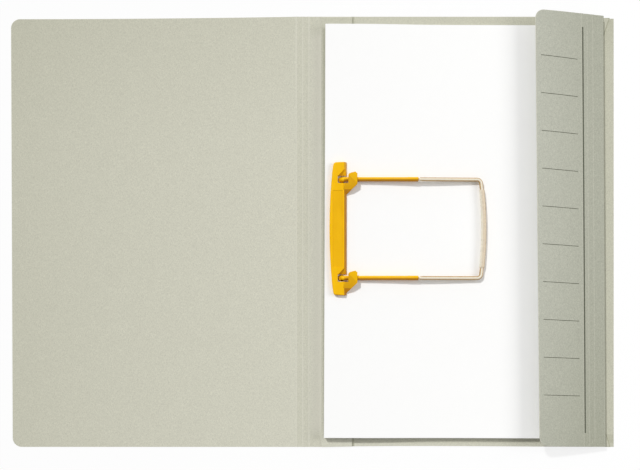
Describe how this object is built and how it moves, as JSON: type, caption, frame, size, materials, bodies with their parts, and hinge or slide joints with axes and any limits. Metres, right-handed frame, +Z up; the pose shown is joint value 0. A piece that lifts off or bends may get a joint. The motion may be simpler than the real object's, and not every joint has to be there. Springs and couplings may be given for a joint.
{
  "type": "flap folder",
  "caption": "Open scored-card folder with a plain cover, ridged spine, inner side flap and a plastic tube clip with a sliding bail that holds a stack of punched sheets.",
  "frame": {"origin": "on the ground, in the middle of the open folder", "axes": "+X from the front cover to the back cover, +Y up the page, +Z up out of the open folder"},
  "size_m": [0.496, 0.354, 0.0188],
  "materials": {
    "card": "matte",
    "paper": "matte",
    "clip_plastic": "satin",
    "bail_plastic": "satin"
  },
  "bodies": {
    "back": {"back_cover": "card", "mounting_strip": "card", "flap_glue_tab": "card", "clip_base": "clip_plastic", "sheets_lower": "paper", "sheets_upper": "paper", "compressor_bar": "clip_plastic", "hook_upper": "clip_plastic", "hook_lower": "clip_plastic"},
    "spine_inner": {"spine_strip_inner": "card"},
    "spine_middle": {"spine_strip_middle": "card"},
    "spine_outer": {"spine_strip_outer": "card"},
    "cover": {"front_cover": "card"},
    "gusset": {"flap_gusset": "card"},
    "flap_root": {"flap_strip_root": "card"},
    "flap_middle": {"flap_strip_middle": "card"},
    "flap_inner": {"flap_strip_inner": "card"},
    "flap": {"flap_panel": "card"},
    "tubes": {"tube_upper": "clip_plastic", "tube_lower": "clip_plastic"},
    "bail": {"bail": "bail_plastic"}
  },
  "joints": [
    {"name": "spine_fold", "type": "hinge", "parent": "back", "child": "spine_inner", "pos_m": [0.007, 0, 0.0005], "axis": [0, 1, 0], "range_deg": [0, 70]},
    {"name": "spine_score_inner", "type": "hinge", "parent": "spine_inner", "child": "spine_middle", "pos_m": [-0.003, 0, 0.0005], "axis": [0, 1, 0], "range_deg": [0, 20]},
    {"name": "spine_score_outer", "type": "hinge", "parent": "spine_middle", "child": "spine_outer", "pos_m": [-0.008, 0, 0.0005], "axis": [0, 1, 0], "range_deg": [0, 20]},
    {"name": "cover_fold", "type": "hinge", "parent": "spine_outer", "child": "cover", "pos_m": [-0.013, 0, 0.0005], "axis": [0, 1, 0], "range_deg": [0, 70]},
    {"name": "gusset_fold", "type": "hinge", "parent": "back", "child": "gusset", "pos_m": [0.2393, 0, 0.00105], "axis": [0, -1, 0], "range_deg": [-90, 0]},
    {"name": "flap_fold", "type": "hinge", "parent": "gusset", "child": "flap_root", "pos_m": [0.2393, 0, 0.00605], "axis": [0, -1, 0], "range_deg": [-78, 0]},
    {"name": "flap_score_root", "type": "hinge", "parent": "flap_root", "child": "flap_middle", "pos_m": [0.22952, 0, 0.00813], "axis": [0, -1, 0], "range_deg": [0, 5]},
    {"name": "flap_score_middle", "type": "hinge", "parent": "flap_middle", "child": "flap_inner", "pos_m": [0.22463, 0, 0.00917], "axis": [0, -1, 0], "range_deg": [0, 5]},
    {"name": "flap_score_inner", "type": "hinge", "parent": "flap_inner", "child": "flap", "pos_m": [0.21974, 0, 0.01021], "axis": [0, -1, 0], "range_deg": [0, 5]},
    {"name": "tubes_fold", "type": "hinge", "parent": "back", "child": "tubes", "pos_m": [0.0229, 0.0015, 0.011], "axis": [0, 1, 0], "range_deg": [-90, 0], "deforming": ["hook_upper", "hook_lower"]},
    {"name": "bail_slide", "type": "slide", "parent": "tubes", "child": "bail", "axis": [-1, 0, 0], "range_m": [-0.038, 0]}
  ]
}
